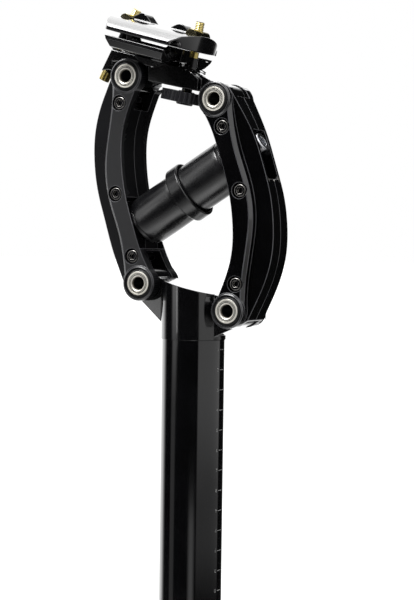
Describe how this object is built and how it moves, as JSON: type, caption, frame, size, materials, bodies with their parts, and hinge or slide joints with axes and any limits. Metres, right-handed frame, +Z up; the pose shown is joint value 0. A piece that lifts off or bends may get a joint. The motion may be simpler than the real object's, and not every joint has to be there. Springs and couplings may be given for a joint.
{
  "type": "suspension seatpost",
  "caption": "Parallelogram suspension seatpost: round post, two clamshell links around an elastomer stack, and a two-bolt rail clamp with a tilt wheel.",
  "frame": {"origin": "on the post's centre line, at the step where the tube meets the post head", "axes": "+Z up the post, +X to the front of the bicycle, +Y to its left"},
  "size_m": [0.1026, 0.053, 0.4195],
  "materials": {
    "gloss_black": "polished black anodised tube",
    "satin_black": "satin black anodised forging",
    "anodised_black": "bright-dipped black anodised",
    "black_steel": "black oxide",
    "seal_rubber": "matt",
    "champagne_alloy": "satin anodised",
    "elastomer": "matt",
    "cap_polymer": "matt",
    "bright_steel": "bright",
    "jaw_alloy": "satin black with machined facets",
    "gold_steel": "gold zinc plate",
    "nut_steel": "satin",
    "wheel_alloy": "satin black"
  },
  "bodies": {
    "base": {"base_head": "satin_black", "lower_front_axle": "champagne_alloy", "lower_rear_axle": "champagne_alloy", "post_tube": "gloss_black"},
    "clamp": {"front_barrel_nut": "nut_steel", "front_clamp_bolt": "gold_steel", "lower_jaw": "jaw_alloy", "rear_barrel_nut": "nut_steel", "upper_jaw": "jaw_alloy"},
    "front_seat": {"front_elastomer": "elastomer", "front_seat_cap": "cap_polymer"},
    "front_link": {"front_link_far": "anodised_black", "front_link_near": "anodised_black", "front_link_screw_1": "black_steel", "front_link_screw_2": "black_steel", "front_link_screw_3": "black_steel", "lower_front_bushing_far": "champagne_alloy", "lower_front_bushing_near": "champagne_alloy", "lower_front_seal_far": "seal_rubber", "lower_front_seal_near": "seal_rubber", "upper_front_bushing_far": "champagne_alloy", "upper_front_bushing_near": "champagne_alloy", "upper_front_seal_far": "seal_rubber", "upper_front_seal_near": "seal_rubber"},
    "rear_link": {"lower_rear_bushing_far": "champagne_alloy", "lower_rear_bushing_near": "champagne_alloy", "lower_rear_seal_far": "seal_rubber", "lower_rear_seal_near": "seal_rubber", "rear_link_far": "anodised_black", "rear_link_near": "anodised_black", "rear_link_screw_1": "black_steel", "rear_link_screw_2": "black_steel", "rear_link_screw_3": "black_steel", "upper_rear_bushing_far": "champagne_alloy", "upper_rear_bushing_near": "champagne_alloy", "upper_rear_seal_far": "seal_rubber", "upper_rear_seal_near": "seal_rubber"},
    "preload": {"preload_bolt": "bright_steel"},
    "stack": {"preload_nut": "bright_steel", "rear_elastomer": "elastomer", "rear_seat_cap": "cap_polymer"},
    "rear_bolt": {"rear_bolt_sleeve": "black_steel", "rear_clamp_bolt": "gold_steel"},
    "saddle_head": {"saddle_head": "satin_black", "upper_front_axle": "champagne_alloy", "upper_rear_axle": "champagne_alloy"},
    "collar": {"stack_collar": "cap_polymer"},
    "wheel": {"tilt_wheel": "wheel_alloy"}
  },
  "joints": [
    {"name": "rear_link_swing", "type": "hinge", "parent": "base", "child": "rear_link", "pos_m": [-0.0242, 0, 0.0276], "axis": [0, -1, 0], "range_deg": [0, 40], "stiffness_Nm_per_rad": 100, "springref_deg": -2.86},
    {"name": "front_link_swing", "type": "hinge", "parent": "base", "child": "front_link", "pos_m": [0.02503, 0, 0.01505], "axis": [0, -1, 0], "range_deg": [0, 40]},
    {"name": "saddle_head_level", "type": "hinge", "parent": "rear_link", "child": "saddle_head", "pos_m": [-0.03287, 0, 0.13084], "axis": [0, -1, 0], "range_deg": [-40, 0]},
    {"name": "stack_rear_seat", "type": "hinge", "parent": "rear_link", "child": "stack", "pos_m": [-0.02824, 0, 0.05777], "axis": [0, -1, 0], "range_deg": [-28.73, 0]},
    {"name": "stack_front_seat", "type": "hinge", "parent": "front_link", "child": "front_seat", "pos_m": [0.0204, 0, 0.08812], "axis": [0, -1, 0], "range_deg": [-28.73, 0]},
    {"name": "collar_slide", "type": "slide", "parent": "stack", "child": "collar", "axis": [0.8483, 0, 0.5295], "range_m": [-0.01413, 0], "deforming": ["rear_elastomer", "front_elastomer"]},
    {"name": "preload_turn", "type": "hinge", "parent": "stack", "child": "preload", "pos_m": [-0.02824, 0, 0.05777], "axis": [0.8483, 0, 0.5295], "continuous": true},
    {"name": "clamp_tilt", "type": "hinge", "parent": "saddle_head", "child": "clamp", "pos_m": [-0.0195, 0, 0.1475], "axis": [0, 1, 0], "range_deg": [-3, 3]},
    {"name": "rear_bolt_slide", "type": "slide", "parent": "clamp", "child": "rear_bolt", "axis": [0.4833, 0, 0.8755], "range_m": [-0.0012, 0.0012]},
    {"name": "tilt_wheel_turn", "type": "hinge", "parent": "clamp", "child": "wheel", "pos_m": [0.0002, 0, 0.15071], "axis": [0.2079, 0, 0.9781], "continuous": true}
  ],
  "couplings": [
    {"joint": "front_link_swing", "follows": "rear_link_swing", "ratio": 1},
    {"joint": "saddle_head_level", "follows": "rear_link_swing", "ratio": -1},
    {"joint": "stack_rear_seat", "follows": "rear_link_swing", "ratio": -0.7181},
    {"joint": "stack_front_seat", "follows": "rear_link_swing", "ratio": -0.7181},
    {"joint": "collar_slide", "follows": "rear_link_swing", "m_per_rad": -0.020218},
    {"joint": "rear_bolt_slide", "follows": "clamp_tilt", "m_per_rad": -0.0214}
  ]
}
